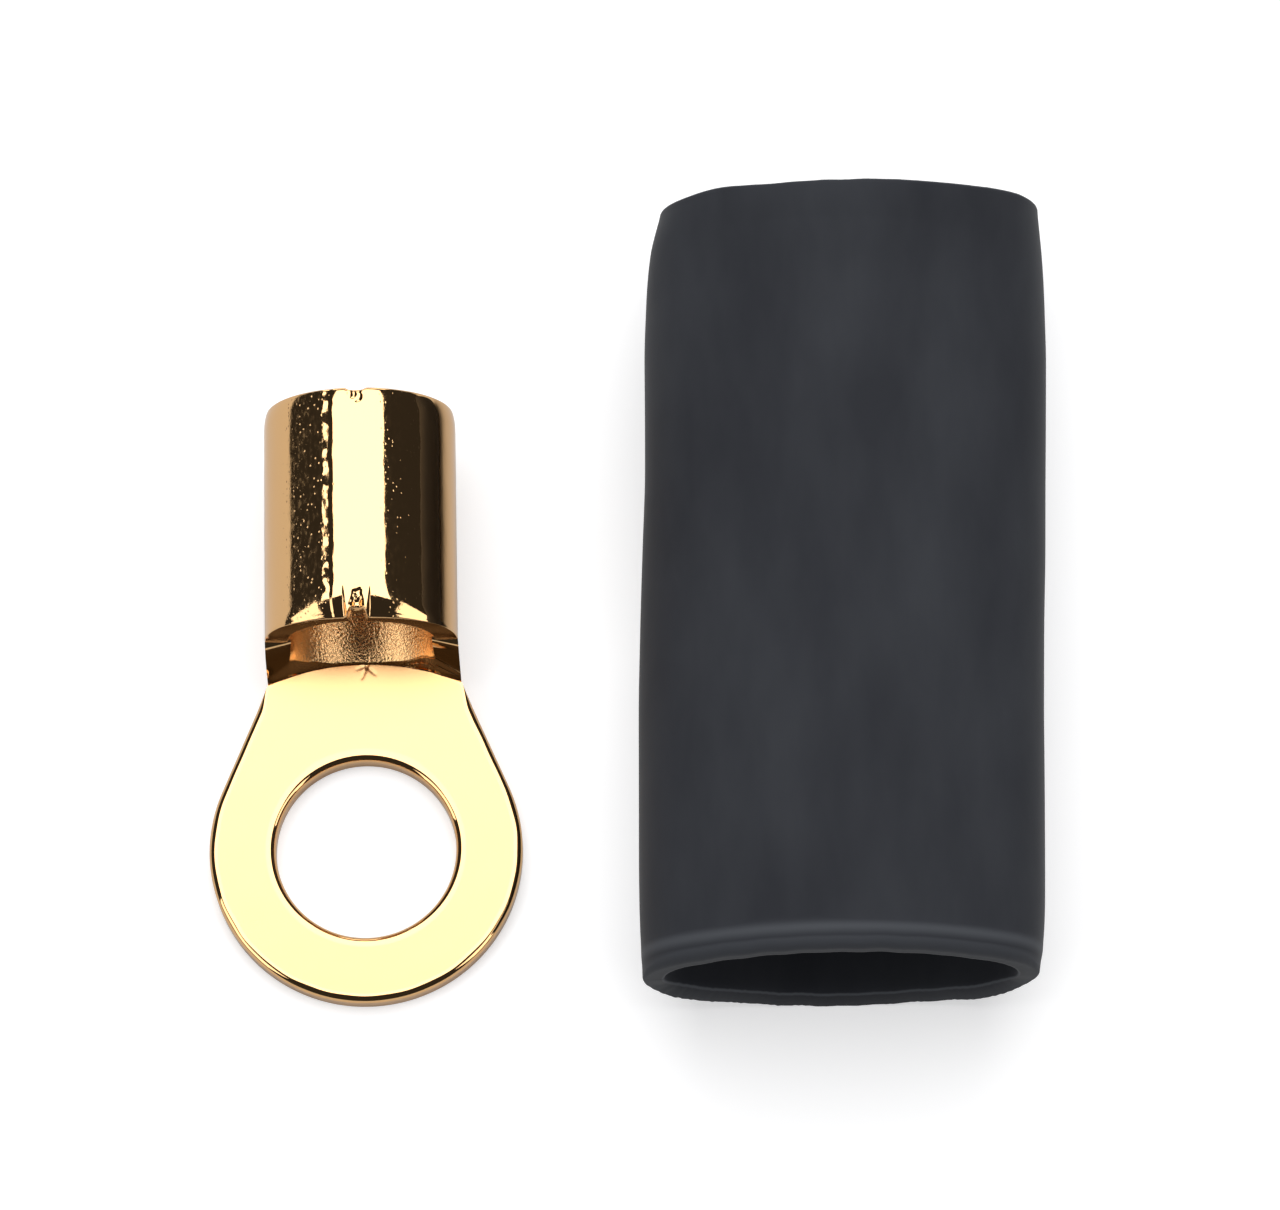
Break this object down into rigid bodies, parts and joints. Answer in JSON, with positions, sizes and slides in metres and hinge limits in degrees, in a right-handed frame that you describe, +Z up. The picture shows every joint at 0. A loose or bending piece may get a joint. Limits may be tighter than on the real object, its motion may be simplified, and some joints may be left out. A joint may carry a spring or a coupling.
{
  "type": "heat shrink ring terminal",
  "caption": "Gold-plated ring terminal with a flat stud ring, a short trough neck and a rolled wire barrel, beside its loose black oval heat shrink sleeve.",
  "frame": {"origin": "centre of the stud hole on the underside of the ring", "axes": "+Z up out of the ring's flat, +Y along the wire barrel towards the wire, +X towards the loose sleeve"},
  "size_m": [0.0395, 0.0373, 0.0121],
  "materials": {
    "gold_plate": "bright gold plating on pressed brass strip",
    "heat_shrink": "matt extruded polyolefin, near black"
  },
  "bodies": {
    "root": {"ring_terminal": "gold_plate", "heat_shrink_sleeve": "heat_shrink"}
  },
  "joints": []
}
